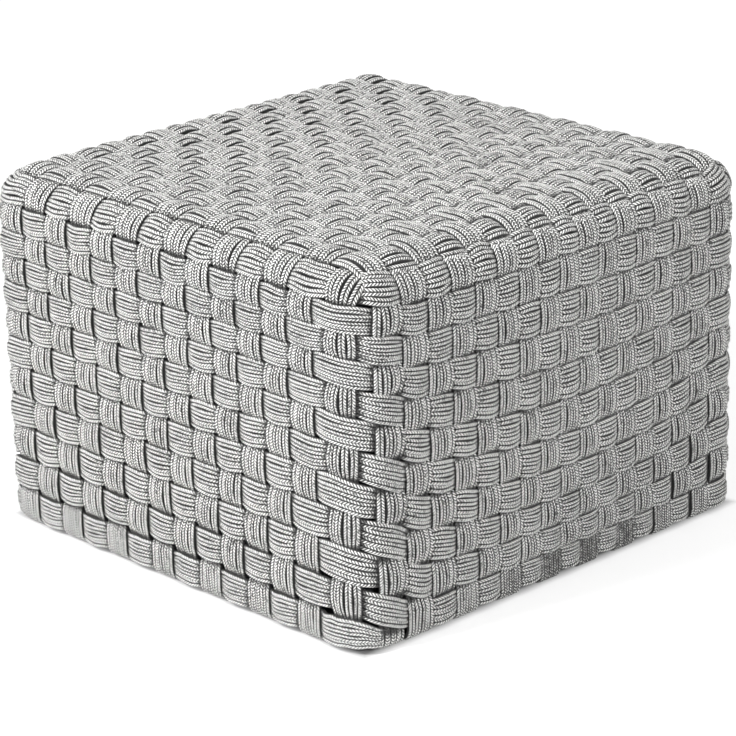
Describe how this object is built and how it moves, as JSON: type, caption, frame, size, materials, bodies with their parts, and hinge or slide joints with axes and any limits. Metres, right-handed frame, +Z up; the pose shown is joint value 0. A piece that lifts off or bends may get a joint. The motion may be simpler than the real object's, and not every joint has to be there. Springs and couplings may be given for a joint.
{
  "type": "outdoor ottoman footstool",
  "caption": "Square outdoor ottoman footstool: flat bands of grey cord in plain weave over a rounded tube frame, standing on low glides.",
  "frame": {"origin": "on the floor under the middle of the footstool", "axes": "+Z up; X across the width, -X the left side with twelve rows; Y along the depth, -Y the front"},
  "size_m": [0.566, 0.564, 0.39],
  "materials": {
    "rope": "matt braided polyester cord in light grey, four cords side by side in each band",
    "powder_coat": "anthracite powder coat, satin",
    "glide_plastic": "dark moulded plastic, fine matt grain"
  },
  "bodies": {
    "root": {"ring_band_01": "rope", "ring_band_02": "rope", "ring_band_03": "rope", "ring_band_04": "rope", "ring_band_05": "rope", "ring_band_06": "rope", "ring_band_07": "rope", "ring_band_08": "rope", "ring_band_09": "rope", "ring_band_10": "rope", "ring_band_11": "rope", "short_band_12": "rope", "side_to_side_band_01": "rope", "side_to_side_band_02": "rope", "side_to_side_band_03": "rope", "side_to_side_band_04": "rope", "side_to_side_band_05": "rope", "side_to_side_band_06": "rope", "side_to_side_band_07": "rope", "side_to_side_band_08": "rope", "side_to_side_band_09": "rope", "side_to_side_band_10": "rope", "side_to_side_band_11": "rope", "side_to_side_band_12": "rope", "side_to_side_band_13": "rope", "side_to_side_band_14": "rope", "front_to_back_band_01": "rope", "front_to_back_band_02": "rope", "front_to_back_band_03": "rope", "front_to_back_band_04": "rope", "front_to_back_band_05": "rope", "front_to_back_band_06": "rope", "front_to_back_band_07": "rope", "front_to_back_band_08": "rope", "front_to_back_band_09": "rope", "front_to_back_band_10": "rope", "front_to_back_band_11": "rope", "front_to_back_band_12": "rope", "front_to_back_band_13": "rope", "front_to_back_band_14": "rope", "front_to_back_band_15": "rope", "front_to_back_band_16": "rope", "front_to_back_band_17": "rope", "base_ring": "powder_coat", "top_ring": "powder_coat", "corner_post_front_left": "powder_coat", "corner_post_front_right": "powder_coat", "corner_post_back_left": "powder_coat", "corner_post_back_right": "powder_coat", "side_upright_front_left": "powder_coat", "side_upright_front_right": "powder_coat", "side_upright_back_left": "powder_coat", "side_upright_back_right": "powder_coat", "seat_bar_front": "powder_coat", "seat_bar_back": "powder_coat", "glide_front_left": "glide_plastic", "glide_front_right": "glide_plastic", "glide_back_left": "glide_plastic", "glide_back_right": "glide_plastic"}
  },
  "joints": []
}
